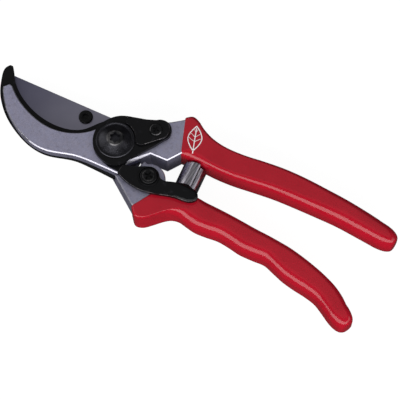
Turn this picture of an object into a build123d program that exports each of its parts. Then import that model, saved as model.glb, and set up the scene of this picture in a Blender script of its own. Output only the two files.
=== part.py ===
"""Bypass pruning shears with two metal handles, closed and latched.

Millimetres. The pivot axis is the Z axis, and Z = 0 is the plane the shears lie on, which is
the underside of the pivot bolt's head and of both grips. X runs from the jaws to the ends of
the handles, Y towards the hook handle, and Z up through the pivot nut.

The hook handle carries the hook blade above the cutting plane. The blade handle carries the
cutting blade below it. They open by turning on the pivot bolt.
"""
import os

from build123d import *

os.makedirs("parts", exist_ok=True)

# Heights of the layers, from the plane the shears lie on
back_z = 1.2  # underside of both frames at the head
blade_z = 4.5  # underside of the cutting blade
blade_top_z = 7.5  # the cutting plane, just under the hook blade
hook_z = 7.55  # underside of the hook blade
lap_z = 10.7  # underside of the hook frame where it laps over the pivot
front_z = 15.2  # front face of both frames
plate_z = 17.4  # front face of the cover plate
arm_z = 19.0  # front face of the lock arm
core_low_z = 1.0  # handle core inside the grips
core_high_z = 14.6
grip_top_z = 15.7
grip_round = 2.2
mid_z = grip_top_z / 2

# Pivot
bolt_r = 4.0
bolt_flats = 6.4  # across the two flats that key the bolt to the hook frame
bolt_head_r = 8.0
bolt_head_t = 1.5
bolt_top_z = 18.4
washer_r = 6.2
washer_t = 0.6
bushing_r = 5.5
running_gap = 0.05
nut_r = 9.7
nut_flats = 13.0  # across the hexagon under the rim
nut_rim_t = 1.2
nut_boss_r = 4.4
nut_top_z = 20.6
key_flats = 5.0  # across the socket in the nut
key_depth = 1.6
hub_r = 13.2  # eye of the blade frame
blade_hub_r = 13.8
lap_r = 15.0  # round pocket in the hook frame that the blade frame's eye turns in
sweep_r = 17.6  # wall of the blade frame that the hook frame's heel turns inside
root_x = 4.0  # the hook frame is a thin lap on the jaw side of this line
heel_x = 19.6  # inner corner of the room that the blade frame's root needs under the lap
heel_y = -0.8
skirt_t = 0.55  # thin skirt of the cover plate, under the nose of the catch

# Ground cutting edge
edge_depth = 2.4
edge_width = 3.6

# Fixing points in the XY plane
blade_screw_at = (-22.2, 6.1)
lock_screw_at = (14.4, 14.6)
catch_at = (24.6, -8.0)
rivets_at = [(-51.0, -12.2), (-35.0, -15.8), (-19.5, -12.6)]
rivet_r = 1.6
rivet_depth = 3.2
screw_r = 2.0
screw_depth = 8.0
fit_gap = 0.1  # between a screw and the hole it passes through

# Lock screw and its cross recess
lock_head_r = 3.2
lock_head_t = 1.0
lock_cross = (3.2, 0.8, 0.9)  # length, width, depth

# Screw and nut that hold the cutting blade
screw_boss_r = 4.8
blade_head_r = 3.6
blade_head_t = 1.3
blade_key_flats = 3.0
blade_key_depth = 1.1
blade_nut_r = 3.3
blade_nut_t = 1.4
blade_nut_slot = (8.0, 1.0)
blade_nut_core_r = 2.8
nut_pocket_t = 1.6

# Catch
catch_pad_r = 8.2
catch_washer_r = 5.2
catch_washer_t = 0.7
catch_t = 2.2
catch_play = 0.05
shoulder_r = 2.6
catch_head_r = 4.3
catch_head_t = 1.6
catch_cross = (4.4, 1.0, 1.2)  # length, width, depth
catch_z = front_z + catch_washer_t
catch_top_z = catch_z + catch_t

# Spring, on a peg of each handle
spring_top = Vector(39.6, 11.9, mid_z)
spring_foot = Vector(41.9, -3.5, mid_z)
spring_top_r = 7.2
spring_foot_r = 6.6
spring_bore_r = 2.4
peg_r = 1.7
peg_out = 4.5  # peg length inside the spring
peg_root = 4.0  # peg length back into the handle core

# Opening stop: a lug on the hook frame stands in a notch in the cutting blade's hub
open_angle = 30.0
lug_start = 25.0
lug_end = 37.0
lug_r = 12.0
lug_lift = 0.1
lug_back_r = lap_r + 0.6
stop_play = 0.6  # degrees
stop_gap = 0.3


def ring_sector(inner_r, outer_r, start, end):
    """A sketch of a sector of a ring about the pivot, between two angles in degrees."""
    reach = 2 * outer_r
    with BuildSketch() as sector:
        Circle(outer_r)
        Circle(inner_r, mode=Mode.SUBTRACT)
        with BuildLine():
            Polyline(
                (0, 0),
                Vector(reach, 0).rotate(Axis.Z, start),
                Vector(reach, 0).rotate(Axis.Z, (start + end) / 2),
                Vector(reach, 0).rotate(Axis.Z, end),
                (0, 0),
            )
        make_face(mode=Mode.INTERSECT)
    return sector.sketch


def cross_at(place, length, width):
    """A sketch of the cross recess in a screw's head."""
    with BuildSketch() as cross:
        with Locations(place):
            Rectangle(length, width)
            Rectangle(width, length)
    return cross.sketch


# ---------------------------------------------------------------- outlines
with BuildSketch() as hook_frame_outline:
    with BuildLine():
        outer = Spline(
            (-64.5, -4.2), (-57.6, -12.4), (-47.5, -18.7), (-36.5, -22.3), (-26.5, -21.9),
            (-14.0, -17.1), (-3.0, -15.0), (10.0, -13.6),
        )
        Polyline(
            outer @ 1, (11.0, -6.8), (18.0, 3.9), (26.9, 5.1), (31.6, 13.6), (36.0, 15.0),
            (31.0, 28.6), (24.6, 30.4), (17.8, 24.0), (12.4, 20.0),
        )
        Spline((12.4, 20.0), (5.0, 15.8), (-2.5, 12.2), (-7.8, 8.0), (-10.4, 3.2), (-12.6, 0.2))
        inner = Spline(
            (-12.6, 0.2), (-15.8, -3.4), (-23.6, -8.4), (-34.0, -10.7), (-44.0, -9.5),
            (-53.4, -6.2), (-60.6, -1.6),
        )
        Polyline(inner @ 1, (-62.5, -1.3), outer @ 0)
    make_face()

with BuildSketch() as hook_blade_outline:
    with BuildLine():
        rim = Spline(
            (-66.1, 7.0), (-63.6, 3.9), (-57.4, -1.0), (-49.6, -4.6), (-41.0, -6.6), (-32.5, -6.7),
            (-25.0, -5.0), (-18.6, -1.0), (-14.6, 4.8), (-9.0, 11.2), (0.0, 13.4),
        )
        hub = ThreePointArc(rim @ 1, (12.0, 5.96), (11.4, -7.0))
        heel = Polyline(hub @ 1, (9.6, -13.4), (8.2, -15.0))
        back = Spline(
            heel @ 1, (1.7, -15.3), (-4.6, -15.8), (-14.0, -17.1), (-26.5, -21.7), (-36.5, -22.2),
            (-47.5, -19.2), (-58.0, -13.6), (-65.8, -5.8), (-69.6, 1.2), (-71.0, 6.2), (-69.6, 9.2),
        )
        Polyline(back @ 1, (-68.2, 9.3), rim @ 0)
    make_face()

with BuildSketch() as blade_outline:
    with BuildLine():
        Line((-66.4, 6.2), (-1.6, 13.7))
        ThreePointArc((-1.6, 13.7), (blade_hub_r, 0), (-2.4, -13.59))
        Spline(
            (-2.4, -13.59), (-11.0, -11.6), (-20.0, -10.6), (-30.0, -10.4), (-40.0, -9.6),
            (-50.0, -7.0), (-58.0, -2.9), (-63.4, 2.0), (-66.4, 6.2),
        )
    make_face()

with BuildSketch() as blade_root_outline:
    with BuildLine():
        Polyline(
            (9.0, -4.2), (3.0, -11.3), (24.0, -23.4), (31.0, -24.6), (35.0, -19.8), (38.0, -14.0),
            (38.0, -6.6), (32.3, -5.6), (18.2, -1.2), (13.0, -1.9), (9.0, -4.2),
        )
    make_face()
    with Locations(catch_at):
        Circle(catch_pad_r)

with BuildSketch() as cover_outline:
    with BuildLine():
        Polyline((9.0, -9.8), (10.5, -8.1), (10.7, -5.2), (13.1, -1.2), (17.7, 7.3), (20.4, 13.2))
        Spline((20.4, 13.2), (21.4, 17.2), (18.9, 21.1), (15.8, 21.9), (13.2, 21.3), (11.0, 19.4))
        Spline((11.0, 19.4), (6.2, 17.3), (0.4, 15.1), (-5.0, 12.5), (-9.3, 7.6), (-11.4, 0.0),
               (-9.4, -6.1), (-5.0, -10.5), (1.0, -12.4), (5.0, -12.3), (9.0, -9.8))
    make_face()

with BuildSketch() as skirt_outline:
    with BuildLine():
        Polyline((9.8, -6.8), (0.6, -12.4), (4.2, -13.1), (9.8, -12.7), (10.7, -7.2), (9.8, -6.8))
    make_face()

with BuildSketch() as lock_arm_outline:
    with BuildLine():
        shank = Polyline((6.0, 5.0), (10.6, 3.6), (12.6, 3.8), (19.7, 12.6))
        tip = Spline(
            shank @ 1, (20.6, 16.6), (18.6, 20.2), (15.6, 21.1), (12.8, 20.0), (6.0, 16.4), (-1.0, 13.8),
        )
        Polyline(tip @ 1, (-0.5, 6.0), shank @ 0)
    make_face()
    Circle(nut_r + stop_gap, mode=Mode.SUBTRACT)

with BuildSketch() as catch_outline:
    with BuildLine():
        Spline(
            (10.3, -9.2), (14.4, -7.6), (18.6, -5.2), (21.4, -3.5), (24.8, -2.8), (28.4, -4.8),
            (31.4, -5.8), (35.0, -4.5), (40.0, -2.6), (45.8, -1.9), (49.8, -3.2), (50.8, -5.4),
            (48.8, -8.3), (41.8, -10.2), (33.5, -13.2), (26.5, -15.6), (19.0, -16.1), (10.5, -14.0),
        )
        Line((10.5, -14.0), (10.3, -9.2))
    make_face()

with BuildSketch() as hook_grip_outline:
    with BuildLine():
        edge = Spline(
            (22.3, 30.0), (26.6, 33.0), (32.0, 30.4), (39.0, 27.5), (48.7, 26.8), (62.0, 29.2),
            (78.4, 32.3), (95.0, 33.9), (113.0, 34.6), (128.0, 34.3), (136.6, 33.4), (141.4, 31.4),
            (142.8, 28.2), (141.2, 25.1), (136.6, 23.4), (124.0, 22.8), (108.8, 22.5), (92.0, 21.0),
            (75.0, 18.6), (58.0, 15.2), (43.8, 12.9), (31.3, 11.7),
        )
        Line(edge @ 1, edge @ 0)
    make_face()

with BuildSketch() as blade_grip_outline:
    with BuildLine():
        edge = Spline(
            (26.0, -24.4), (30.2, -28.0), (36.4, -22.3), (42.0, -17.3), (49.0, -16.6), (56.0, -17.0),
            (63.0, -16.0), (70.5, -15.0), (81.0, -15.3), (88.0, -14.5), (94.5, -13.8), (103.0, -15.6),
            (112.4, -16.6), (120.0, -16.7), (130.0, -19.9), (140.2, -22.9), (145.2, -18.2),
            (137.9, -11.7), (129.0, -7.3), (119.0, -4.2), (99.0, -1.6), (79.0, -1.9), (60.0, -2.5),
            (46.0, -4.0), (35.2, -4.6),
        )
        Polyline(edge @ 1, (33.6, -10.4), (28.4, -15.4), edge @ 0)
    make_face()

with BuildSketch() as hook_core_outline:
    with BuildLine():
        edge = Spline(
            (31.0, 28.4), (39.0, 26.0), (48.7, 25.4), (62.0, 27.8), (78.4, 31.0), (95.0, 32.8),
            (113.0, 33.2), (128.0, 32.8), (137.0, 31.2), (140.4, 28.4), (136.8, 25.2), (124.0, 24.3),
            (108.8, 24.0), (92.0, 22.5), (75.0, 20.1), (58.0, 16.8), (43.8, 14.5), (31.6, 13.5),
        )
        Line(edge @ 1, edge @ 0)
    make_face()

with BuildSketch() as blade_core_outline:
    with BuildLine():
        edge = Spline(
            (30.0, -25.6), (36.5, -20.4), (42.4, -15.8), (49.0, -15.1), (63.0, -14.4), (81.0, -13.6),
            (94.5, -12.3), (112.0, -15.0), (121.0, -15.6), (130.0, -18.4), (139.4, -21.0), (142.8, -18.0),
            (136.4, -13.2), (128.4, -8.9), (119.0, -5.8), (99.0, -3.2), (79.0, -3.4), (60.0, -4.0),
            (46.0, -5.5), (35.4, -6.2),
        )
        Line(edge @ 1, edge @ 0)
    make_face()

spring_plane = Plane(spring_top, z_dir=spring_foot - spring_top)
foot_plane = Plane(spring_foot, z_dir=spring_top - spring_foot)


# ---------------------------------------------------------------- hook handle
with BuildPart() as hook_handle_frame:
    with BuildSketch(Plane.XY.offset(lap_z)):
        add(hook_frame_outline.sketch)
    extrude(amount=front_z - lap_z)
    # The root goes the full depth, behind a pocket for the blade frame's eye
    with BuildSketch(Plane.XY.offset(back_z)):
        add(hook_frame_outline.sketch)
        with Locations((root_x, 0)):
            Rectangle(100.0, 100.0, align=(Align.MAX, Align.CENTER), mode=Mode.SUBTRACT)
        Circle(lap_r, mode=Mode.SUBTRACT)
        with Locations((heel_x, heel_y)):
            Rectangle(20.0, 20.0, align=(Align.MAX, Align.MAX), mode=Mode.SUBTRACT)
    extrude(amount=lap_z - back_z)
    # Handle core
    with BuildSketch(Plane.XY.offset(core_low_z)):
        add(hook_core_outline.sketch)
    extrude(amount=core_high_z - core_low_z)
    # Stop lug in the layer of the cutting blade
    with BuildSketch(Plane.XY.offset(blade_z + lug_lift)):
        add(ring_sector(lug_r, lug_back_r, lug_start, lug_end))
    extrude(amount=hook_z - blade_z - lug_lift)
    # Spring peg
    with Locations(spring_plane.offset(-peg_root)):
        Cylinder(peg_r, peg_root + peg_out, align=(Align.CENTER, Align.CENTER, Align.MIN))
    # Keyed hole for the pivot bolt
    with BuildSketch(Plane.XY.offset(lap_z)):
        Circle(bolt_r + running_gap)
        Rectangle(2 * lap_r, bolt_flats + 2 * running_gap, mode=Mode.INTERSECT)
    extrude(amount=front_z - lap_z, mode=Mode.SUBTRACT)
    # Blind holes for the lock screw and the rivets
    with Locations((*lock_screw_at, front_z - screw_depth)):
        Cylinder(screw_r, screw_depth, align=(Align.CENTER, Align.CENTER, Align.MIN), mode=Mode.SUBTRACT)
    with Locations([(x, y, lap_z) for x, y in rivets_at]):
        Cylinder(rivet_r, rivet_depth, align=(Align.CENTER, Align.CENTER, Align.MIN), mode=Mode.SUBTRACT)
hook_handle_frame.part.label = "hook_handle_frame"

with BuildPart() as hook_handle_grip:
    with BuildSketch():
        add(hook_grip_outline.sketch)
    extrude(amount=grip_top_z)
    rims = hook_handle_grip.edges().filter_by(GeomType.BSPLINE).filter_by(Axis.Z, reverse=True)
    fillet(rims.group_by(Axis.Z)[0] + rims.group_by(Axis.Z)[-1], grip_round)
    add(hook_handle_frame.part, mode=Mode.SUBTRACT)
hook_handle_grip.part.label = "hook_handle_grip"

with BuildPart() as hook_blade:
    with BuildSketch(Plane.XY.offset(hook_z)):
        add(hook_blade_outline.sketch)
        Circle(bolt_r + running_gap, mode=Mode.SUBTRACT)
        with Locations(rivets_at):
            Circle(rivet_r, mode=Mode.SUBTRACT)
    extrude(amount=lap_z - hook_z)
hook_blade.part.label = "hook_blade"

with BuildPart() as hook_blade_rivets:
    with Locations([(x, y, hook_z) for x, y in rivets_at]):
        Cylinder(rivet_r, lap_z - hook_z + rivet_depth, align=(Align.CENTER, Align.CENTER, Align.MIN))
hook_blade_rivets.part.label = "hook_blade_rivets"

with BuildPart() as cover_plate:
    # Skirt that reaches under the catch, then the plate round the washer, then round the nut
    with BuildSketch(Plane.XY.offset(front_z)):
        add(cover_outline.sketch)
        add(skirt_outline.sketch)
        Circle(washer_r + fit_gap, mode=Mode.SUBTRACT)
        with Locations(lock_screw_at):
            Circle(screw_r + fit_gap, mode=Mode.SUBTRACT)
    extrude(amount=skirt_t)
    with BuildSketch(Plane.XY.offset(front_z + skirt_t)):
        add(cover_outline.sketch)
        Circle(washer_r + fit_gap, mode=Mode.SUBTRACT)
        with Locations(lock_screw_at):
            Circle(screw_r + fit_gap, mode=Mode.SUBTRACT)
    extrude(amount=washer_t - skirt_t)
    with BuildSketch(Plane.XY.offset(front_z + washer_t)):
        add(cover_outline.sketch)
        RegularPolygon(nut_flats / 2 + running_gap, 6, major_radius=False, mode=Mode.SUBTRACT)
        with Locations(lock_screw_at):
            Circle(screw_r + fit_gap, mode=Mode.SUBTRACT)
    extrude(amount=plate_z - front_z - washer_t)
cover_plate.part.label = "cover_plate"

with BuildPart() as lock_arm:
    with BuildSketch(Plane.XY.offset(plate_z)):
        add(lock_arm_outline.sketch)
        with Locations(lock_screw_at):
            Circle(screw_r + fit_gap, mode=Mode.SUBTRACT)
    extrude(amount=arm_z - plate_z)
lock_arm.part.label = "lock_arm"

with BuildPart() as lock_screw:
    with Locations((*lock_screw_at, front_z - screw_depth)):
        Cylinder(screw_r, arm_z - front_z + screw_depth, align=(Align.CENTER, Align.CENTER, Align.MIN))
    with BuildSketch(Plane.XY.offset(arm_z)):
        with Locations(lock_screw_at):
            Circle(lock_head_r)
    extrude(amount=lock_head_t)
    fillet(lock_screw.edges().group_by(Axis.Z)[-1], 0.7 * lock_head_t)
    with BuildSketch(Plane.XY.offset(arm_z + lock_head_t)):
        add(cross_at(lock_screw_at, *lock_cross[:2]))
    extrude(amount=-lock_cross[2], mode=Mode.SUBTRACT)
lock_screw.part.label = "lock_screw"

with BuildPart() as pivot_bolt:
    with BuildSketch():
        Circle(bolt_head_r)
    extrude(amount=bolt_head_t)
    chamfer(pivot_bolt.edges().group_by(Axis.Z)[0], bolt_head_t / 3)
    with BuildSketch(Plane.XY.offset(bolt_head_t)):
        Circle(bolt_r)
    extrude(amount=lap_z - bolt_head_t)
    with BuildSketch(Plane.XY.offset(lap_z)):
        Circle(bolt_r)
        Rectangle(2 * lap_r, bolt_flats, mode=Mode.INTERSECT)
    extrude(amount=front_z - lap_z)
    with BuildSketch(Plane.XY.offset(front_z)):
        Circle(bolt_flats / 2)
    extrude(amount=bolt_top_z - front_z)
pivot_bolt.part.label = "pivot_bolt"

with BuildPart() as pivot_washer:
    with BuildSketch(Plane.XY.offset(front_z)):
        Circle(washer_r)
        Circle(bolt_flats / 2 + fit_gap, mode=Mode.SUBTRACT)
    extrude(amount=washer_t)
pivot_washer.part.label = "pivot_washer"

with BuildPart() as pivot_nut:
    with BuildSketch(Plane.XY.offset(front_z + washer_t)):
        RegularPolygon(nut_flats / 2, 6, major_radius=False)
    extrude(amount=plate_z - front_z - washer_t)
    # Dished rim rising to a hub with a key socket
    with BuildSketch(Plane.XZ):
        with BuildLine():
            Polyline(
                (0, plate_z), (nut_r, plate_z), (nut_r, plate_z + nut_rim_t - 0.3),
                (nut_r - 0.5, plate_z + nut_rim_t), (nut_r - 1.2, plate_z + nut_rim_t - 0.2),
                (nut_boss_r, nut_top_z - 0.2), (nut_boss_r - 0.5, nut_top_z), (0, nut_top_z), (0, plate_z),
            )
        make_face()
    revolve(axis=Axis.Z)
    with Locations((0, 0, front_z + washer_t)):
        Cylinder(bolt_flats / 2, bolt_top_z - front_z - washer_t,
                 align=(Align.CENTER, Align.CENTER, Align.MIN), mode=Mode.SUBTRACT)
    with BuildSketch(Plane.XY.offset(nut_top_z)):
        RegularPolygon(key_flats / 2, 6, major_radius=False)
    extrude(amount=-key_depth, mode=Mode.SUBTRACT)
pivot_nut.part.label = "pivot_nut"


# ---------------------------------------------------------------- blade handle
with BuildPart() as blade_handle_frame:
    # Flange behind the cutting blade
    with BuildSketch(Plane.XY.offset(back_z)):
        with BuildSketch(mode=Mode.PRIVATE) as ear:
            Circle(hub_r)
            with Locations(blade_screw_at):
                Circle(screw_boss_r)
        make_hull(ear.sketch.edges())
        add(blade_root_outline.sketch)
        Circle(bushing_r, mode=Mode.SUBTRACT)
        with Locations(blade_screw_at):
            Circle(screw_r, mode=Mode.SUBTRACT)
    extrude(amount=blade_z - back_z)
    # Full-depth root outside the sweep of the hook frame
    with BuildSketch(Plane.XY.offset(blade_z)):
        add(blade_root_outline.sketch)
        Circle(sweep_r, mode=Mode.SUBTRACT)
    extrude(amount=front_z - blade_z)
    with BuildSketch(Plane.XY.offset(core_low_z)):
        add(blade_core_outline.sketch)
    extrude(amount=core_high_z - core_low_z)
    with Locations(foot_plane.offset(-peg_root)):
        Cylinder(peg_r, peg_root + peg_out, align=(Align.CENTER, Align.CENTER, Align.MIN))
    # Recess for the pivot bolt's head, hole for the catch screw, counterbore for the blade nut
    with Locations((0, 0, back_z)):
        Cylinder(bolt_head_r + fit_gap, bolt_head_t + running_gap - back_z,
                 align=(Align.CENTER, Align.CENTER, Align.MIN), mode=Mode.SUBTRACT)
    with Locations((*catch_at, front_z - screw_depth)):
        Cylinder(screw_r, screw_depth, align=(Align.CENTER, Align.CENTER, Align.MIN), mode=Mode.SUBTRACT)
    with Locations((*blade_screw_at, back_z)):
        Cylinder(blade_nut_r + fit_gap, nut_pocket_t,
                 align=(Align.CENTER, Align.CENTER, Align.MIN), mode=Mode.SUBTRACT)
blade_handle_frame.part.label = "blade_handle_frame"

with BuildPart() as blade_handle_grip:
    with BuildSketch():
        add(blade_grip_outline.sketch)
    extrude(amount=grip_top_z)
    rims = blade_handle_grip.edges().filter_by(GeomType.BSPLINE).filter_by(Axis.Z, reverse=True)
    fillet(rims.group_by(Axis.Z)[0] + rims.group_by(Axis.Z)[-1], grip_round)
    add(blade_handle_frame.part, mode=Mode.SUBTRACT)
blade_handle_grip.part.label = "blade_handle_grip"

with BuildPart() as cutting_blade:
    with BuildSketch(Plane.XY.offset(blade_z)):
        add(blade_outline.sketch)
        Circle(bushing_r, mode=Mode.SUBTRACT)
        add(
            ring_sector(lug_r - stop_gap, lap_r, lug_start - stop_play, lug_end + open_angle + stop_play),
            mode=Mode.SUBTRACT,
        )
        with Locations(blade_screw_at):
            Circle(screw_r, mode=Mode.SUBTRACT)
    extrude(amount=blade_top_z - blade_z)
    # The convex edge is ground on the side away from the hook blade
    ground = cutting_blade.edges().group_by(Axis.Z)[0].filter_by(GeomType.BSPLINE)
    chamfer(ground, edge_depth, edge_width)
cutting_blade.part.label = "cutting_blade"

with BuildPart() as pivot_bushing:
    with Locations((0, 0, bolt_head_t + running_gap)):
        Cylinder(bushing_r, blade_top_z - bolt_head_t - running_gap,
                 align=(Align.CENTER, Align.CENTER, Align.MIN))
        Hole(bolt_r + running_gap)
pivot_bushing.part.label = "pivot_bushing"

with BuildPart() as blade_screw:
    with Locations((*blade_screw_at, back_z + 0.3)):
        Cylinder(screw_r, blade_top_z - back_z - 0.3, align=(Align.CENTER, Align.CENTER, Align.MIN))
    with BuildSketch(Plane.XY.offset(blade_top_z)):
        with Locations(blade_screw_at):
            Circle(blade_head_r)
    extrude(amount=blade_head_t)
    fillet(blade_screw.edges().group_by(Axis.Z)[-1], 0.6 * blade_head_t)
    with BuildSketch(Plane.XY.offset(blade_top_z + blade_head_t)):
        with Locations(blade_screw_at):
            RegularPolygon(blade_key_flats / 2, 6, major_radius=False)
    extrude(amount=-blade_key_depth, mode=Mode.SUBTRACT)
blade_screw.part.label = "blade_screw"

with BuildPart() as blade_nut:
    with BuildSketch(Plane.XY.offset(back_z + nut_pocket_t - blade_nut_t)):
        with Locations(blade_screw_at):
            Circle(blade_nut_r)
            Rectangle(*blade_nut_slot, mode=Mode.SUBTRACT)
            Circle(blade_nut_core_r)
            Circle(screw_r, mode=Mode.SUBTRACT)
    extrude(amount=blade_nut_t)
blade_nut.part.label = "blade_nut"

with BuildPart() as catch_washer:
    with BuildSketch(Plane.XY.offset(front_z)):
        with Locations(catch_at):
            Circle(catch_washer_r)
            Circle(shoulder_r, mode=Mode.SUBTRACT)
    extrude(amount=catch_washer_t - catch_play)
catch_washer.part.label = "catch_washer"

with BuildPart() as catch_screw:
    with Locations((*catch_at, front_z - screw_depth)):
        Cylinder(screw_r, screw_depth, align=(Align.CENTER, Align.CENTER, Align.MIN))
    with Locations((*catch_at, front_z)):
        Cylinder(shoulder_r, catch_top_z + catch_play - front_z,
                 align=(Align.CENTER, Align.CENTER, Align.MIN))
    with BuildSketch(Plane.XY.offset(catch_top_z + catch_play)):
        with Locations(catch_at):
            Circle(catch_head_r)
    extrude(amount=catch_head_t)
    fillet(catch_screw.edges().group_by(Axis.Z)[-1], 0.55 * catch_head_t)
    with BuildSketch(Plane.XY.offset(catch_top_z + catch_play + catch_head_t)):
        add(cross_at(catch_at, *catch_cross[:2]))
    extrude(amount=-catch_cross[2], mode=Mode.SUBTRACT)
catch_screw.part.label = "catch_screw"

with BuildPart() as volute_spring:
    gap = (spring_foot - spring_top).length
    with Locations(spring_plane):
        Cone(spring_top_r, spring_foot_r, gap, align=(Align.CENTER, Align.CENTER, Align.MIN))
        Cylinder(spring_bore_r, gap, align=(Align.CENTER, Align.CENTER, Align.MIN), mode=Mode.SUBTRACT)
volute_spring.part.label = "volute_spring"


# ---------------------------------------------------------------- catch
with BuildPart() as catch_lever:
    with BuildSketch(Plane.XY.offset(catch_z)):
        add(catch_outline.sketch)
        with Locations(catch_at):
            Circle(shoulder_r + running_gap, mode=Mode.SUBTRACT)
    extrude(amount=catch_t)
catch_lever.part.label = "catch_lever"


for piece in (
    hook_handle_frame, hook_handle_grip, hook_blade, hook_blade_rivets, cover_plate, lock_arm,
    lock_screw, pivot_bolt, pivot_washer, pivot_nut, blade_handle_frame, blade_handle_grip,
    cutting_blade, pivot_bushing, blade_screw, blade_nut, catch_washer, catch_screw, volute_spring,
    catch_lever,
):
    export_step(piece.part, f"parts/{piece.part.label}.step")
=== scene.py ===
"""Looks of a pair of bypass pruning shears, closed and latched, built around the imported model.

Metres, in the model's own frame: the pivot is on the Z axis, the jaws point to -X, the hook
handle is on the +Y side, and the shears lie on the plane Z = 0 with the pivot nut on top.
"""
import math

import bmesh
import bpy
from mathutils import Matrix, Vector
from mathutils.bvhtree import BVHTree
from mathutils.geometry import intersect_point_line


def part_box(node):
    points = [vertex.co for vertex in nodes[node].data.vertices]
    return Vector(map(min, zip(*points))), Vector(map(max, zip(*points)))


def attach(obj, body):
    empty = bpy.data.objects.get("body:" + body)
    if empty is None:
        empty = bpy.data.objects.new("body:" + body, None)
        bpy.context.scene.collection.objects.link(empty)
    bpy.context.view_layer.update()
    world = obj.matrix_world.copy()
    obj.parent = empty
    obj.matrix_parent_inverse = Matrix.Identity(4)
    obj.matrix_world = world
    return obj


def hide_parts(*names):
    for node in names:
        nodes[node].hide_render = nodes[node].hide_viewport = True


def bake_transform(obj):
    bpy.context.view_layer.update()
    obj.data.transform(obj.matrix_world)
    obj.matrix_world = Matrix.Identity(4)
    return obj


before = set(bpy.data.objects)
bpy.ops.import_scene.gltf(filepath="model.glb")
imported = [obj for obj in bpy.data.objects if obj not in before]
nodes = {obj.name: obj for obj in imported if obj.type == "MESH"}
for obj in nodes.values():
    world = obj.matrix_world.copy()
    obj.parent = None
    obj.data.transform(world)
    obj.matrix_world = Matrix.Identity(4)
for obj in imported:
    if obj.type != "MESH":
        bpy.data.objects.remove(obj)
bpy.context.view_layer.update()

MM = 0.001
# Points closer than this count as one place or one level.
NEAR = 0.01 * MM
# Vertices closer than MERGE are merged, and those closer than ON_CUT to a cut lie on it.
MERGE = 1e-6
ON_CUT = 1e-7
# Half the height of the grips, which is also the height of their middle above the floor.
HALF_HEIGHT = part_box("hook_handle_grip")[1].z / 2
# The line across each casting where its grip starts: an upper and a lower point, in millimetres.
HOOK_ROOT = ((22.6, 30.2), (31.3, 11.9))
BLADE_ROOT = ((34.8, -4.4), (25.4, -24.9))
# The moving bodies.
HOOK = "hook_handle"
BLADE = "blade_handle"
CATCH = "catch"


# ---------------------------------------------------------------- shader maths
class Field:
    """A shader socket that takes part in arithmetic. Each operation adds one Math node."""

    def __init__(self, finish, socket):
        self.finish = finish
        self.socket = socket

    def math(self, operation, *values):
        return self.finish.node("Math", {"operation": operation}, dict(enumerate(values)))[0]

    def __add__(self, other):
        return self.math("ADD", self, other)

    def __radd__(self, other):
        return self.math("ADD", other, self)

    def __mul__(self, other):
        return self.math("MULTIPLY", self, other)

    def __rmul__(self, other):
        return self.math("MULTIPLY", other, self)

    def between(self, low, high):
        """0 at low, 1 at high, smooth between them."""
        settings = {"interpolation_type": "SMOOTHSTEP"}
        return self.finish.node("MapRange", settings, {0: self, 1: low, 2: high})[0]


class Finish:
    """A material with one Principled surface, and the nodes that vary it."""

    def __init__(self, name, **surface):
        self.material = bpy.data.materials.new(name)
        self.material.use_nodes = True
        self.tree = self.material.node_tree
        self.tree.nodes.clear()
        self.surface = self.tree.nodes.new("ShaderNodeBsdfPrincipled")
        output = self.tree.nodes.new("ShaderNodeOutputMaterial")
        self.tree.links.new(self.surface.outputs[0], output.inputs["Surface"])
        for key, value in surface.items():
            self.set(key.replace("_", " "), value)
        self.place = self.node("TexCoord", {}, {})["Object"]

    def fill(self, socket, value):
        if isinstance(value, Field):
            self.tree.links.new(value.socket, socket)
        else:
            socket.default_value = value

    def set(self, name, value):
        self.fill(self.surface.inputs[name], value)

    def node(self, kind, settings, sockets):
        """Adds a node: its settings first, then the values or links of its sockets."""
        made = self.tree.nodes.new("ShaderNode" + kind)
        for key, value in settings.items():
            setattr(made, key, value)
        for key, value in sockets.items():
            self.fill(made.inputs[key], value)
        return {key: Field(self, s) for i, s in enumerate(made.outputs) for key in (i, s.name)}

    def stretched(self, scale, turn=0.0):
        """Object coordinates turned about Z and scaled along each axis."""
        sockets = {0: self.place, "Rotation": (0, 0, turn), "Scale": scale}
        return self.node("Mapping", {"vector_type": "POINT"}, sockets)[0]

    def along(self, axis):
        """The object coordinate along X, Y or Z."""
        return self.node("SeparateXYZ", {}, {0: self.place})[axis]

    def noise(self, scale, detail, roughness, place=None):
        """Noise over the surface, or over other coordinates where they are given."""
        sockets = {"Vector": place or self.place, "Scale": scale, "Detail": detail,
                   "Roughness": roughness}
        return self.node("TexNoise", {}, sockets)[0]

    def mix(self, factor, first, second):
        """A colour between two colours."""
        return self.node("Mix", {"data_type": "RGBA"}, {0: factor, 6: first, 7: second})[2]

    def bump(self, height, distance, strength, under=None):
        """Raises the surface by a height, on top of another bump where one is given."""
        sockets = {"Height": height, "Distance": distance, "Strength": strength}
        if under is not None:
            sockets["Normal"] = under
        bumped = self.node("Bump", {}, sockets)["Normal"]
        self.set("Normal", bumped)
        return bumped


def rgb(red, green, blue):
    return (red, green, blue, 1.0)


def shaded(shade, red, green, blue):
    """A colour made darker by a shade below 1."""
    return rgb(shade * red, shade * green, shade * blue)


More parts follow.
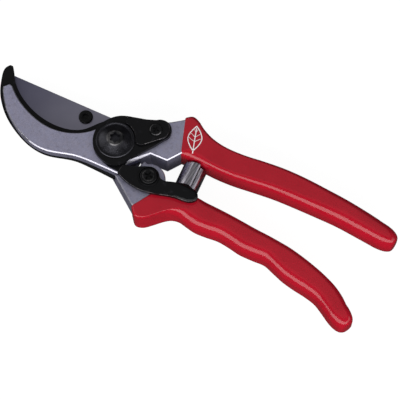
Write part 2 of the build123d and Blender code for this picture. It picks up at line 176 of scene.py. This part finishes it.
# ---------------------------------------------------------------- finishes
def cast_aluminium(name, shade):
    """Shot-blasted casting: pits, clouds and stains, with painted light paler towards the pivot and
    painted shade where shade is below 1.
    """
    made = Finish(name, Metallic=0.85, Specular_IOR_Level=0.5)
    clouds = made.noise(140.0, 4.0, 0.6)
    grit = made.noise(2600.0, 2.0, 0.7)
    stains = made.noise(420.0, 5.0, 0.65).between(0.52, 0.76)
    mottle = made.noise(560.0, 3.0, 0.6).between(0.36, 0.66)
    # Painted light: the casting is made paler towards the pivot.
    painted_light_towards_pivot = made.along("X").between(-0.045, 0.015)
    far = made.mix(clouds, shaded(shade, 0.36, 0.345, 0.47), shaded(shade, 0.47, 0.45, 0.61))
    near = made.mix(clouds, shaded(shade, 0.40, 0.39, 0.51), shaded(shade, 0.53, 0.515, 0.67))
    base = made.mix(painted_light_towards_pivot, far, near)
    mottled = made.mix(mottle * 0.55, base, shaded(shade, 0.44, 0.46, 0.66))
    speckled = made.mix(grit.between(0.35, 0.75), mottled, shaded(shade, 0.60, 0.58, 0.74))
    made.set("Base Color", made.mix(stains * 0.6, speckled, shaded(shade, 0.25, 0.24, 0.32)))
    made.set("Roughness", 0.40 + clouds * 0.14)
    made.bump(grit, 0.04 * MM, 0.7)
    return made.material


def ground_rim_and_painted_highlight():
    """The bright edge left where the casting's rim was ground off; on the spring's free end, a painted
    highlight.
    """
    made = Finish("ground_rim_and_painted_highlight", Metallic=0.9)
    lines = made.noise(900.0, 3.0, 0.6, made.stretched((1.0, 1.0, 12.0)))
    made.set("Base Color", made.mix(lines, rgb(0.40, 0.39, 0.45), rgb(0.62, 0.61, 0.68)))
    made.set("Roughness", 0.30 + lines * 0.18)
    made.bump(lines, 0.02 * MM, 0.5)
    return made.material


def dipped_vinyl():
    """Thick glossy red vinyl with a faint orange peel and slow waves from dipping."""
    made = Finish("dipped_vinyl", IOR=1.5, Specular_IOR_Level=0.38)
    peel = made.noise(520.0, 2.0, 0.5)
    waves = made.noise(45.0, 2.0, 0.5)
    depth = made.noise(90.0, 3.0, 0.5)
    made.set("Base Color", made.mix(depth, rgb(0.40, 0.006, 0.018), rgb(0.50, 0.010, 0.026)))
    made.set("Roughness", 0.11 + peel * 0.05)
    ripple = made.bump(waves, 1.2 * MM, 0.3)
    made.bump(peel, 0.01 * MM, 0.5, ripple)
    return made.material


def black_finish(name, tone, rough):
    """Semi-gloss black on steel, rubbed slightly brown-grey in places."""
    made = Finish(name, IOR=1.5, Specular_IOR_Level=0.2)
    rub = made.noise(260.0, 5.0, 0.62)
    grain = made.noise(1800.0, 2.0, 0.6)
    worn = rub.between(0.58, 0.74) * 0.55
    made.set("Base Color", made.mix(worn, rgb(tone, tone, tone * 1.25), rgb(0.030, 0.028, 0.036)))
    made.set("Roughness", rough + rub * 0.16)
    made.set("Metallic", worn * 0.6)
    made.bump(grain, 0.02 * MM, 0.55)
    return made.material


def worn_steel(name, black, bare):
    """Blackened steel rubbed down to bare metal in patches."""
    made = Finish(name, Metallic=0.9)
    patches = made.noise(230.0, 4.0, 0.6).between(0.40, 0.68)
    made.set("Base Color", made.mix(patches, black, bare))
    made.set("Roughness", 0.24 + patches * 0.14)
    return made.material


def turned_black():
    """Black nut with fine turning rings about the pivot."""
    made = Finish("turned_black", IOR=1.5, Metallic=0.7, Anisotropic=0.7)
    about_pivot = {"wave_type": "RINGS", "rings_direction": "Z"}
    sockets = {"Vector": made.place, "Scale": 900.0, "Distortion": 0.6, "Detail": 2.0}
    rings = made.node("TexWave", about_pivot, sockets)["Fac"]
    rub = made.noise(300.0, 4.0, 0.6)
    bare = made.noise(190.0, 3.0, 0.5).between(0.46, 0.64)
    black = made.mix(rub, rgb(0.012, 0.012, 0.015), rgb(0.030, 0.029, 0.036))
    made.set("Base Color", made.mix(bare * 0.3, black, rgb(0.07, 0.07, 0.085)))
    made.set("Roughness", 0.22 + rub * 0.1)
    made.bump(rings, 0.012 * MM, 0.7)
    return made.material


def ground_blade():
    """Ground steel with long fine scratches along the blade, and a painted reflection darker towards the
    tip.
    """
    made = Finish("ground_blade", Metallic=0.9)
    along_blade = made.stretched((60.0, 2200.0, 2200.0), math.radians(-6.5))
    lines = made.noise(1.0, 3.0, 0.65, along_blade)
    clouds = made.noise(70.0, 3.0, 0.5)
    # Painted reflection: the blade is made lighter towards the pivot and darker towards the tip.
    painted_light_towards_pivot = made.along("X").between(-0.066, -0.012)
    dark = made.mix(clouds, rgb(0.15, 0.145, 0.22), rgb(0.20, 0.195, 0.28))
    light = made.mix(clouds, rgb(0.29, 0.28, 0.36), rgb(0.36, 0.35, 0.43))
    made.set("Base Color", made.mix(painted_light_towards_pivot, dark, light))
    made.set("Roughness", 0.30 + lines * 0.16)
    made.bump(lines, 0.01 * MM, 0.6)
    return made.material


def bright_steel(name, low, high, rough, grain):
    """Plain or plated steel with fine lines, drawn out along the axis where grain is small."""
    made = Finish(name, Metallic=1.0)
    lines = made.noise(1500.0, 3.0, 0.6, made.stretched(grain))
    made.set("Base Color", made.mix(lines.between(0.35, 0.65), low, high))
    made.set("Roughness", rough + lines * 0.1)
    made.bump(lines, 0.01 * MM, 0.5)
    return made.material


def turned_brass():
    """Turned brass, tarnished in places."""
    made = Finish("turned_brass", Metallic=1.0)
    tarnish = made.noise(300.0, 4.0, 0.6)
    made.set("Base Color", made.mix(tarnish, rgb(0.62, 0.43, 0.16), rgb(0.80, 0.62, 0.30)))
    made.set("Roughness", 0.22 + tarnish * 0.15)
    return made.material


def printed_white():
    """Pad-printed ink, thin enough for a little red to show through."""
    made = Finish("printed_white", IOR=1.45)
    wear = made.noise(1400.0, 3.0, 0.6)
    thin = wear.between(0.5, 0.8)
    made.set("Base Color", made.mix(thin, rgb(1.0, 0.96, 0.97), rgb(0.85, 0.62, 0.66)))
    made.set("Roughness", 0.34 + wear * 0.1)
    return made.material


HOOK_CASTING = cast_aluminium("cast_aluminium", 1.0)
# Painted shade: the blade handle's casting is the same finish darkened to 0.8.
BLADE_CASTING_PAINTED_SHADE = cast_aluminium("cast_aluminium_blade_side_painted_shade", 0.8)
EDGE = ground_rim_and_painted_highlight()
VINYL = dipped_vinyl()
BLACK = black_finish("blackened_steel", 0.0035, 0.25)
BLACK_HOOK = black_finish("blackened_hook", 0.003, 0.32)
WORN = worn_steel("worn_rim", rgb(0.018, 0.017, 0.020), rgb(0.17, 0.16, 0.165))
RUBBED = worn_steel("rubbed_recess", rgb(0.03, 0.03, 0.032), rgb(0.16, 0.155, 0.16))
NUT_BLACK = turned_black()
BLADE_STEEL = ground_blade()
STEEL = bright_steel(
    "plain_steel", rgb(0.42, 0.42, 0.44), rgb(0.60, 0.60, 0.62), 0.26, (1.0, 1.0, 0.06)
)
PLATED = bright_steel(
    "plated_spring", rgb(0.16, 0.15, 0.18), rgb(0.46, 0.44, 0.48), 0.16, (1.0, 0.03, 1.0)
)
BRASS = turned_brass()
INK = printed_white()


# ---------------------------------------------------------------- mesh tools
def curve_through(points, steps):
    """Points on a smooth curve through the given ones, steps to each span."""
    ends = [2 * points[0] - points[1], *points, 2 * points[-1] - points[-2]]
    curve = []
    for before, start, end, after in zip(ends, ends[1:], ends[2:], ends[3:]):
        for i in range(steps):
            t = i / steps
            swing = (end - before) * t + (2 * before - 5 * start + 4 * end - after) * t**2
            curve.append(start + (swing + (3 * start - before - 3 * end + after) * t**3) / 2)
    return [*curve, points[-1]]


def add_loop(bm, points):
    """A closed ring of vertices and edges."""
    ring = [bm.verts.new(p) for p in points]
    return [bm.edges.new((a, b)) for a, b in zip(ring, ring[1:] + ring[:1])]


def loft(bm, rings):
    """Bridges rings of points into a closed body with a face at each end."""
    loops = [add_loop(bm, ring) for ring in rings]
    for first, second in zip(loops, loops[1:]):
        bmesh.ops.bridge_loops(bm, edges=first + second)
    bmesh.ops.edgeloop_fill(bm, edges=loops[0])
    bmesh.ops.edgeloop_fill(bm, edges=loops[-1])


def soften(bm, width, segments=3, sharp=28.0, keep=None, clamp=True):
    """Bevels the sharp edges and returns the new faces."""
    rims = []
    for edge in bm.edges:
        if len(edge.link_faces) == 2 and edge.calc_face_angle(0) > math.radians(sharp):
            if keep is None or keep(edge):
                rims.append(edge)
    made = bmesh.ops.bevel(bm, geom=rims, offset=width, offset_type="OFFSET", segments=segments,
                           profile=0.5, affect="EDGES", material=-1, clamp_overlap=clamp)
    return made["faces"]


def finish_piece(bm, name, material, body, replaced=(), sharp=38.0, extra=()):
    """Makes the mesh an object that stands for CAD nodes and rides on a body, where one is given."""
    for face in bm.faces:
        face.smooth = True
    for edge in bm.edges:
        if len(edge.link_faces) == 2:
            edge.smooth = edge.calc_face_angle(0) < math.radians(sharp)
    mesh = bpy.data.meshes.new(name)
    bm.to_mesh(mesh)
    bm.free()
    for each in (material, *extra):
        mesh.materials.append(each)
    piece = bpy.data.objects.new(name, mesh)
    bpy.context.scene.collection.objects.link(piece)
    weights = piece.modifiers.new("even_shading", "WEIGHTED_NORMAL")
    weights.keep_sharp = True
    if body:
        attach(piece, body)
    if replaced:
        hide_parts(*replaced)
    return piece


def copy_of(node):
    """A merged copy of a CAD node's mesh, with its flat faces made whole."""
    bm = bmesh.new()
    bm.from_mesh(nodes[node].data)
    bmesh.ops.remove_doubles(bm, verts=bm.verts[:], dist=MERGE)
    bmesh.ops.dissolve_limit(bm, angle_limit=math.radians(0.6), verts=bm.verts[:], edges=bm.edges[:])
    return bm


def softened(node, body, material, width, segments=3, rim_material=None):
    """A CAD piece with its sharp edges rounded over, and worn where a rim material is given."""
    bm = copy_of(node)
    rim = soften(bm, width, segments)
    if rim_material:
        for face in rim:
            face.material_index = 1
    extra = (rim_material,) if rim_material else ()
    finish_piece(bm, node + "_finished", material, body, (node,), extra=extra)


def turned(bm, profile, centre, steps):
    """Spins a profile of (radius, height) points, in millimetres, about an upright axis."""
    outline = [bm.verts.new(centre + Vector((radius, 0, height)) * MM) for radius, height in profile]
    edges = [bm.edges.new(pair) for pair in zip(outline, outline[1:])]
    bmesh.ops.spin(bm, geom=outline + edges, cent=centre, axis=(0, 0, 1), angle=math.tau,
                   steps=steps, use_merge=True, use_duplicate=False)
    bmesh.ops.remove_doubles(bm, verts=bm.verts[:], dist=MERGE)


def ring_of_metal(name, material, body, axis, profile):
    """A ring turned from a closed profile of (radius, height) points, in millimetres."""
    bm = bmesh.new()
    turned(bm, [*profile, profile[0]], axis, 72)
    bmesh.ops.recalc_face_normals(bm, faces=bm.faces[:])
    finish_piece(bm, name, material, body)


def ribbon(bm, left, right):
    """A flat strip between two open rows of points."""
    edges = []
    for row in (left, right):
        chain = [bm.verts.new(point) for point in row]
        edges += [bm.edges.new(pair) for pair in zip(chain, chain[1:])]
    bmesh.ops.bridge_loops(bm, edges=edges)


# ---------------------------------------------------------------- screws and castings
def finished_screw(node, body):
    """A screw with an eased key recess, and the rounded rim of its head rubbed bright."""
    bm = copy_of(node)
    soften(bm, 0.15 * MM, 2)
    low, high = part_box(node)
    middle = (low + high) / 2
    recess_radius, head_depth = 2.2 * MM, 1.6 * MM
    for face in bm.faces:
        centre = face.calc_center_median()
        sloping = 0.2 < face.normal.z < 0.985
        on_head = centre.z > high.z - head_depth
        if sloping and on_head and (centre - middle).xy.length > recess_radius:
            face.material_index = 1
    finish_piece(bm, node + "_finished", BLACK, body, (node,), extra=(RUBBED,))


def widen_corner(bm, corner, front, width):
    """Widens the ground rim at one corner of its casting, towards the inside of the front face."""
    spread, depth = 3.2, 1.3 * MM
    for vert in bm.verts:
        reach = (vert.co - corner).xy
        if reach.length < 1.2 * width and vert.co.z > front - NEAR:
            vert.co.xy = corner.xy + reach * spread
        elif reach.length < NEAR and vert.co.z > front - 1.1 * width:
            vert.co.z = front - depth


def finished_frame(node, body, material, root, width, corner=None):
    """A casting with its front rim ground to a bright bevel, and a slimmer core inside its grip."""
    lap, core_start, core_height = 0.4 * MM, 0.2 * MM, 0.58
    bm = copy_of(node)
    upper, lower = (Vector((*point, 0)) * MM for point in root)
    inwards = (upper - lower).normalized().cross(Vector((0, 0, -1)))
    if inwards.x < 0:
        inwards.negate()
    rim_end = lower + inwards * lap
    everything = bm.verts[:] + bm.edges[:] + bm.faces[:]
    bmesh.ops.bisect_plane(bm, geom=everything, dist=ON_CUT, plane_co=rim_end, plane_no=inwards)
    front = max(v.co.z for v in bm.verts)

    def on_front(edge):
        level = all(v.co.z > front - NEAR for v in edge.verts)
        middle = (edge.verts[0].co + edge.verts[1].co) / 2
        return level and (middle - rim_end).dot(inwards) < MERGE

    for face in soften(bm, width, 1, keep=on_front, clamp=False):
        face.material_index = 1
    if corner:
        widen_corner(bm, Vector((*corner, 0)) * MM, front, width)
    for vert in bm.verts:
        if (vert.co - rim_end).dot(inwards) > core_start:
            vert.co.z = HALF_HEIGHT + (vert.co.z - HALF_HEIGHT) * core_height
    name = node + "_finished"
    finish_piece(bm, name, material, body, (node,), extra=(EDGE,))


# The corner of the hook casting's head that faces the catch, where the rim is ground wider.
HEAD_CORNER = (11.0, -6.8)

finished_frame("hook_handle_frame", HOOK, HOOK_CASTING, HOOK_ROOT, 0.5 * MM, HEAD_CORNER)
finished_frame("blade_handle_frame", BLADE, BLADE_CASTING_PAINTED_SHADE, BLADE_ROOT, 0.45 * MM)


# ---------------------------------------------------------------- blades, plates and screws
softened("hook_blade", HOOK, BLACK_HOOK, 0.35 * MM)
softened("cutting_blade", BLADE, BLADE_STEEL, 0.12 * MM, 2)
softened("cover_plate", HOOK, BLACK, 0.35 * MM, 3, WORN)
softened("lock_arm", HOOK, BLACK, 0.45 * MM, 3, WORN)
finished_screw("lock_screw", HOOK)
softened("catch_screw", BLADE, BLACK, 0.15 * MM, 2)
softened("blade_screw", BLADE, BLACK, 0.2 * MM, 2)


# ---------------------------------------------------------------- pivot nut
def make_nut():
    """Turned nut: a raised rim, a groove, a cone, and a rubbed lip round a six-lobed key socket."""
    low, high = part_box("pivot_nut")
    top, radius = high.z / MM, high.x / MM
    rim = low.z / MM + 1.6
    socket_radius, socket_depth, lobe_depth = 2.2, 1.7, 0.13
    lip_inside, lip_outside, lip_depth = 2.6, 4.2, 0.5
    bm = bmesh.new()
    turned(bm, [
        (0.0, rim), (radius - 0.3, rim), (radius, rim + 0.25),
        (radius, rim + 0.6), (radius - 0.35, rim + 0.9),
        (radius - 0.8, rim + 0.9), (radius - 1.1, rim + 0.6), (radius - 1.6, rim + 0.5),
        (radius - 1.95, rim + 0.65), (6.0, top - 1.55), (4.3, top - 0.45),
        (3.75, top), (2.9, top), (0.0, top),
    ], Vector((0, 0, 0)), 96)
    bmesh.ops.recalc_face_normals(bm, faces=bm.faces[:])

    def on_top(face):
        return face.calc_center_median().z > (top - 0.01) * MM

    inner = [f for f in bm.faces if on_top(f) and f.calc_center_median().xy.length < socket_radius * MM]
    bmesh.ops.dissolve_faces(bm, faces=inner)
    socket = max(bm.faces, key=lambda f: len(f.verts) * on_top(f))
    for vert in socket.verts:
        lobes = math.cos(6 * math.atan2(vert.co.y, vert.co.x))
        vert.co.xy *= 1 - lobe_depth + lobe_depth * lobes
    sunk = bmesh.ops.extrude_discrete_faces(bm, faces=[socket])["faces"]
    bmesh.ops.translate(bm, vec=(0, 0, -socket_depth * MM), verts=sunk[0].verts[:])
    for face in bm.faces:
        middle = face.calc_center_median() / MM
        if middle.z > top - lip_depth and lip_inside < middle.xy.length < lip_outside:
            face.material_index = 1
    name = "pivot_nut_turned"
    finish_piece(bm, name, NUT_BLACK, HOOK, ("pivot_nut",), 24.0, (RUBBED,))


make_nut()


# ---------------------------------------------------------------- catch
def flat_top(bm, top):
    """The faces that lie level with the top of a plate."""
    return [f for f in bm.faces if f.normal.z > 0.99 and f.calc_center_median().z > top - NEAR]


def dome_tab(bm, top):
    """Swells the front of the catch's thumb tab into a low dome that dies away towards the screw."""
    start, spacing = 35.0 * MM, 0.6 * MM
    rise, shoulder, run_in = 1.0 * MM, 2.6 * MM, 8.0 * MM
    flat = flat_top(bm, top)
    border = []
    for edge in {e for f in flat for e in f.edges}:
        if any(f not in flat for f in edge.link_faces):
            border.append([v.co.copy() for v in edge.verts])
    low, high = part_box("catch_lever")
    for axis, first in ((0, start), (1, low.y)):
        normal = Vector([axis == 0, axis == 1, 0])
        for i in range(1, int((high[axis] - first) / spacing)):
            tab = [f for f in flat_top(bm, top) if max(v.co.x for v in f.verts) > start]
            parts = [*tab, *{e for f in tab for e in f.edges}, *{v for f in tab for v in f.verts}]
            line = normal * (first + i * spacing)
            bmesh.ops.bisect_plane(bm, geom=parts, dist=ON_CUT, plane_co=line, plane_no=normal)
    for vert in bm.verts:
        if vert.co.z > top - NEAR and vert.co.x > start:
            feet = [intersect_point_line(vert.co, *ends) for ends in border]
            gap = min((foot - vert.co).length for foot, at in feet if -0.01 <= at <= 1.01)
            inwards = min(gap / shoulder, 1.0)
            along = min((vert.co.x - start) / run_in, 1.0)
            vert.co.z += rise * along * along * (3 - 2 * along) * math.sqrt(1 - (1 - inwards) ** 2)


def make_catch():
    """Catch lever: rounded, its tab domed, with a raised boss and a bright ring round its screw."""
    bm = copy_of("catch_lever")
    top = max(v.co.z for v in bm.verts)
    for face in soften(bm, 0.55 * MM):
        face.material_index = 1
    dome_tab(bm, top)
    name = "catch_lever_finished"
    finish_piece(bm, name, BLACK, CATCH, ("catch_lever",), extra=(WORN,))
    screw_low, screw_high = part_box("catch_screw")
    axis = (screw_low + screw_high).xy.to_3d() / 2
    bore = (screw_high.x - screw_low.x) / 2 / MM + 0.15
    front, head = top / MM, screw_high.z / MM
    ring_of_metal("catch_boss", BLACK, CATCH, axis, [
        (bore, front - 0.2), (bore + 0.9, front - 0.2), (bore + 0.75, front + 0.5),
        (bore + 0.5, front + 0.9), (bore + 0.2, front + 0.95), (bore, front + 0.7),
    ])
    ring_of_metal("catch_screw_collar", RUBBED, BLADE, axis, [
        (2.5, head - 0.1), (3.2, head - 0.1), (3.05, head + 0.25), (2.8, head + 0.35), (2.5, head + 0.25),
    ])


make_catch()


# ---------------------------------------------------------------- grips
def grip_ring(upper, lower, rounding, squash_width=1.0, squash_height=1.0, shift=Vector((0, 0, 0))):
    """A rounded, slightly crowned section standing between an upper and a lower edge point."""
    upper_softness, largest_share, corner_steps = 0.6, 0.96, 8
    middle = (upper + lower) / 2 + shift
    across = (upper - lower).normalized()
    half_width = (upper - lower).length / 2 * squash_width
    half_height = HALF_HEIGHT * squash_height
    crown = 0.35 * MM * squash_height
    ring = []
    for corner, (side, top) in enumerate(((1, 1), (-1, 1), (-1, -1), (1, -1))):
        wanted = rounding * (upper_softness if side > 0 else 1.0)
        round_width = min(wanted, half_width * largest_share)
        round_height = min(wanted, half_height * largest_share)
        for i in range(corner_steps + 1):
            turn = (corner + i / corner_steps) * math.pi / 2
            x = side * (half_width - round_width) + math.cos(turn) * round_width
            z = top * (half_height - round_height) + math.sin(turn) * round_height
            z *= 1 - crown / half_height * (x / half_width) ** 2
            ring.append(middle + across * x + Vector((0, 0, HALF_HEIGHT + z)))
    return ring


def eased(stops, at):
    """The value at a place along (place, value) stops, easing from each to the next."""
    for (start, low), (end, high) in zip(stops, stops[1:]):
        if at <= end:
            t = (at - start) / (end - start)
            return low + (high - low) * t * t * (3 - 2 * t)
    return stops[-1][1]


def make_grip(name, node, body, roundings, stations, end):
    """Dipped grip: a lip at the root, sections between paired edge points, and a round end."""
    span_steps, end_steps, tip_width = 5, 14, 0.004
    uppers = curve_through([Vector((*upper, 0)) * MM for upper, lower in stations], span_steps)
    lowers = curve_through([Vector((*lower, 0)) * MM for upper, lower in stations], span_steps)
    lip = (uppers[0] + lowers[0] - uppers[1] - lowers[1]).normalized()
    at_root, at_end = roundings[0][1], roundings[-1][1]
    rings = []
    for squeeze, out in ((0.93, 0.75), (0.97, 0.62), (0.99, 0.35)):
        rings.append(grip_ring(uppers[0], lowers[0], at_root, squeeze, squeeze, lip * out * MM))
    for i, (upper, lower) in enumerate(zip(uppers, lowers)):
        rings.append(grip_ring(upper, lower, eased(roundings, i / (len(uppers) - 1))))
    reach = Vector((*end, 0)) * MM - (uppers[-1] + lowers[-1]) / 2
    for i in range(1, end_steps + 1):
        turn = i / end_steps * math.pi / 2
        fade = max(math.cos(turn), tip_width)
        shift = reach * math.sin(turn)
        rings.append(grip_ring(uppers[-1], lowers[-1], at_end, fade ** 0.5, fade ** 0.3, shift))
    bm = bmesh.new()
    loft(bm, rings)
    bmesh.ops.recalc_face_normals(bm, faces=bm.faces[:])
    return finish_piece(bm, name, VINYL, body, (node,), sharp=50.0)


# How round each grip's sections are, as (share of its length, radius) from its root to its end.
HOOK_ROUNDINGS = ((0.0, 2.0 * MM), (0.12, 4.8 * MM), (0.42, 2.6 * MM), (1.0, 6.4 * MM))
BLADE_ROUNDINGS = ((0.0, 1.6 * MM), (0.17, 2.0 * MM), (0.34, 6.2 * MM), (1.0, 5.0 * MM))

hook_grip = make_grip(
    "hook_grip_vinyl", "hook_handle_grip", HOOK, HOOK_ROUNDINGS,
    [
        HOOK_ROOT, ((25.2, 32.6), (33.2, 12.0)), ((28.8, 32.0), (36.4, 12.2)),
        ((33.5, 29.5), (40.0, 12.7)), ((40.0, 27.4), (44.5, 13.2)), ((48.0, 26.8), (50.6, 13.8)),
        ((57.7, 28.0), (59.4, 15.1)), ((67.5, 30.3), (69.3, 17.2)), ((78.4, 32.5), (80.4, 19.3)),
        ((89.7, 33.8), (91.4, 20.6)), ((101.3, 34.4), (102.6, 21.7)), ((113.0, 34.8), (113.8, 22.6)),
        ((125.0, 34.5), (125.0, 22.8)), ((133.4, 33.9), (132.6, 22.9)),
    ],
    (143.0, 28.2),
)
make_grip(
    "blade_grip_vinyl", "blade_handle_grip", BLADE, BLADE_ROUNDINGS,
    [
        BLADE_ROOT, ((38.0, -3.9), (29.0, -28.0)), ((41.0, -3.7), (32.8, -27.0)),
        ((43.6, -3.5), (36.0, -23.6)), ((46.0, -3.3), (39.0, -19.9)), ((48.4, -3.1), (42.2, -17.3)),
        ((51.7, -2.9), (46.5, -16.2)), ((55.4, -2.7), (51.5, -16.8)), ((59.6, -2.4), (56.5, -17.1)),
        ((64.6, -2.1), (62.3, -16.2)), ((70.2, -1.9), (68.7, -14.9)), ((76.4, -1.8), (75.0, -14.9)),
        ((82.6, -1.7), (81.1, -15.2)), ((89.2, -1.4), (88.0, -14.4)), ((95.4, -1.3), (94.1, -13.5)),
        ((101.8, -1.4), (100.0, -14.7)), ((108.6, -2.1), (106.0, -16.0)), ((115.2, -3.1), (112.4, -16.6)),
        ((122.0, -4.5), (118.6, -16.8)), ((129.1, -6.6), (124.8, -17.6)), ((134.8, -9.3), (130.2, -19.8)),
        ((138.8, -12.0), (134.0, -21.6)),
    ],
    (144.6, -20.6),
)


# ---------------------------------------------------------------- spring
SPRING_TOP = Vector((39.6, 11.9, 7.85)) * MM
SPRING_FOOT = Vector((41.9, -3.5, 7.85)) * MM


def make_spring():
    """Volute spring: one strip wound inwards, each turn further towards the blade handle."""
    turns, steps = 3.4, 40
    outer, inner = 6.5 * MM, 3.3 * MM
    strip_thick, strip_tall = 0.85 * MM, 12.4 * MM
    free_end_lift = (0.12, 0.52, 0.56, 0.44, 0.28, 0.12)
    painted_highlight_reach = 0.9 * MM
    axis = SPRING_FOOT - SPRING_TOP
    along = axis.normalized()
    side = Vector((0, 0, 1))
    out = side.cross(along)
    start = math.radians(21.0)
    count = int(turns * steps)
    rings = []
    for i in range(count + 1):
        t = i / count
        turn = start - t * turns * math.tau
        lift = free_end_lift[i] * MM if i < len(free_end_lift) else 0
        radius = outer + (inner - outer) * t + lift
        spoke = side * math.cos(turn) + out * math.sin(turn)
        base = SPRING_TOP + along * (axis.length - strip_tall) * t
        near, far = base + spoke * (radius - strip_thick), base + spoke * radius
        rings.append([near, far, far + along * strip_tall, near + along * strip_tall])
    bm = bmesh.new()
    loft(bm, rings)
    bmesh.ops.recalc_face_normals(bm, faces=bm.faces[:])
    soften(bm, 0.16 * MM, 2, 60.0)
    # Painted highlight: faces near the free end of the outer turn take the bright rim finish.
    free_end = SPRING_TOP + (side * math.cos(start) + out * math.sin(start)) * outer
    for face in bm.faces:
        reach = face.calc_center_median() - free_end
        if (reach - along * reach.dot(along)).length < painted_highlight_reach:
            face.material_index = 1
    name = "volute_spring_coil"
    spring = finish_piece(bm, name, PLATED, None, ("volute_spring",), extra=(EDGE,))
    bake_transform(spring)


make_spring()


# ---------------------------------------------------------------- printed mark
def make_leaf_mark():
    """A plain leaf drawn in white lines on the hook grip, laid on the vinyl."""
    centre = Vector((32.3, 22.2, 0)) * MM
    half_length, half_width, line, lift = 7.0 * MM, 3.7 * MM, 0.5 * MM, 0.05 * MM
    fullness, bluntness, tip_inset = 1.7, 0.95, 1.6
    vein_starts, vein_sweep, vein_reach = (-3.4, -0.9, 1.6), 1.9, 0.80
    vein_root_share, vein_tip_share = 0.8, 0.5
    spine_start, spine_length = -0.8 * half_length, 1.95 * half_length
    stem = Vector((0.40, -0.917, 0))
    side = Vector((0.917, 0.40, 0))

    def at(u, v):
        return centre + stem * u + side * v

    def rim(u, inside):
        reach, swell = half_length - tip_inset * inside, half_width - inside
        return at(u * reach, swell * (1 - abs(u) ** fullness) ** bluntness)

    def between(start, end):
        return [start.lerp(end, k / 6) for k in range(7)]

    bm = bmesh.new()
    steps = [i / 24 - 1 for i in range(49)]
    for mirror in (1, -1):
        rows = [[rim(u, inside) for u in steps] for inside in (0.0, line)]
        if mirror < 0:
            rows = [[point - side * 2 * (point - centre).dot(side) for point in row] for row in rows]
        ribbon(bm, *rows)
        for start in vein_starts:
            root, tip = start * MM, (start - vein_sweep) * MM
            spread = 1 - abs(tip / half_length) ** fullness
            reach = mirror * vein_reach * half_width * spread
            near = between(at(root, 0), at(tip, reach))
            far = between(at(root + line * vein_root_share, 0), at(tip + line * vein_tip_share, reach))
            ribbon(bm, near, far)
    spine = [spine_start + spine_length * k / 24 for k in range(25)]
    ribbon(bm, [at(u, -line / 2) for u in spine], [at(u, line / 2) for u in spine])
    surface = BVHTree.FromObject(hook_grip, bpy.context.evaluated_depsgraph_get())
    for vert in bm.verts:
        hit = surface.ray_cast(vert.co + Vector((0, 0, 0.05)), Vector((0, 0, -1)))[0]
        if hit:
            vert.co.z = hit.z + lift
    bmesh.ops.recalc_face_normals(bm, faces=bm.faces[:])
    facing_down = [f for f in bm.faces if f.normal.z < 0]
    bmesh.ops.reverse_faces(bm, faces=facing_down)
    finish_piece(bm, "leaf_mark", INK, HOOK)


make_leaf_mark()


# ---------------------------------------------------------------- finishes of the pieces left as they are
KEPT_FINISHES = {
    "pivot_bolt": BLACK,
    "pivot_washer": STEEL,
    "pivot_bushing": BRASS,
    "blade_nut": STEEL,
    "catch_washer": STEEL,
    "hook_blade_rivets": STEEL,
}

for node, material in KEPT_FINISHES.items():
    for slot in nodes[node].material_slots:
        slot.material = material


# ---------------------------------------------------------------- camera
def make_camera():
    """Long lens looking steeply down, turned so that the jaws point up and to the left."""
    place = Vector((0.21276, -0.26187, 0.76736))
    right = Vector((0.8480, 0.5299, 0.0))
    up = Vector((-0.4913, 0.7863, 0.3746))
    back = Vector((0.1985, -0.3177, 0.9272))
    data = bpy.data.cameras.new("camera")
    data.lens = 150.0
    data.sensor_width = 36.0
    data.clip_start = 0.05
    data.clip_end = 20.0
    camera = bpy.data.objects.new("camera", data)
    bpy.context.scene.collection.objects.link(camera)
    facing = Matrix((right, up, back)).transposed().to_4x4()
    camera.matrix_world = Matrix.Translation(place) @ facing
    bpy.context.scene.camera = camera


# ---------------------------------------------------------------- floor and light
def make_floor():
    """A pale sheet just under the shears, left out of their reflections."""
    half_side, centre = 1.6, (0.03, 0, -0.02 * MM)
    bm = bmesh.new()
    bmesh.ops.create_grid(bm, x_segments=2, y_segments=2, size=half_side)
    bmesh.ops.translate(bm, vec=centre, verts=bm.verts[:])
    mesh = bpy.data.meshes.new("floor")
    bm.to_mesh(mesh)
    bm.free()
    pale = Finish("pale_floor", Base_Color=rgb(0.12, 0.12, 0.12), Roughness=0.9,
                  Emission_Color=rgb(1, 1, 1), Emission_Strength=0.95)
    mesh.materials.append(pale.material)
    floor = bpy.data.objects.new("floor", mesh)
    bpy.context.scene.collection.objects.link(floor)
    floor.visible_diffuse = False
    floor.visible_glossy = False


def add_light(name, towards, distance, size, watts):
    """A soft lamp in the given direction from the middle of the shears, facing it."""
    middle = Vector((0.04, 0, 0))
    data = bpy.data.lights.new(name, "AREA")
    data.shape = "RECTANGLE"
    data.size, data.size_y = size
    data.energy = watts
    lamp = bpy.data.objects.new(name, data)
    bpy.context.scene.collection.objects.link(lamp)
    direction = Vector(towards).normalized()
    facing = direction.to_track_quat("Z", "Y").to_matrix().to_4x4()
    lamp.matrix_world = Matrix.Translation(middle + direction * distance) @ facing


def make_world(strength):
    """A faint even glow from all round."""
    world = bpy.data.worlds.new("soft_room")
    world.use_nodes = True
    sky = world.node_tree.nodes["Background"]
    sky.inputs["Color"].default_value = rgb(1.0, 1.0, 1.0)
    sky.inputs["Strength"].default_value = strength
    bpy.context.scene.world = world


make_camera()
make_floor()
make_world(0.05)
add_light("overhead_softbox", (-0.20, 0.32, 0.93), 1.0, (1.3, 1.3), 1.6)
add_light("front_softbox", (0.34, -0.94, 0.60), 0.8, (2.0, 0.5), 11.0)
add_light("right_softbox", (0.95, 0.10, 0.45), 0.8, (0.7, 0.5), 1.6)
add_light("left_softbox", (-0.95, -0.10, 0.42), 0.8, (0.7, 0.5), 1.2)
bpy.context.scene.view_settings.view_transform = "Standard"
bpy.context.scene.view_settings.look = "None"
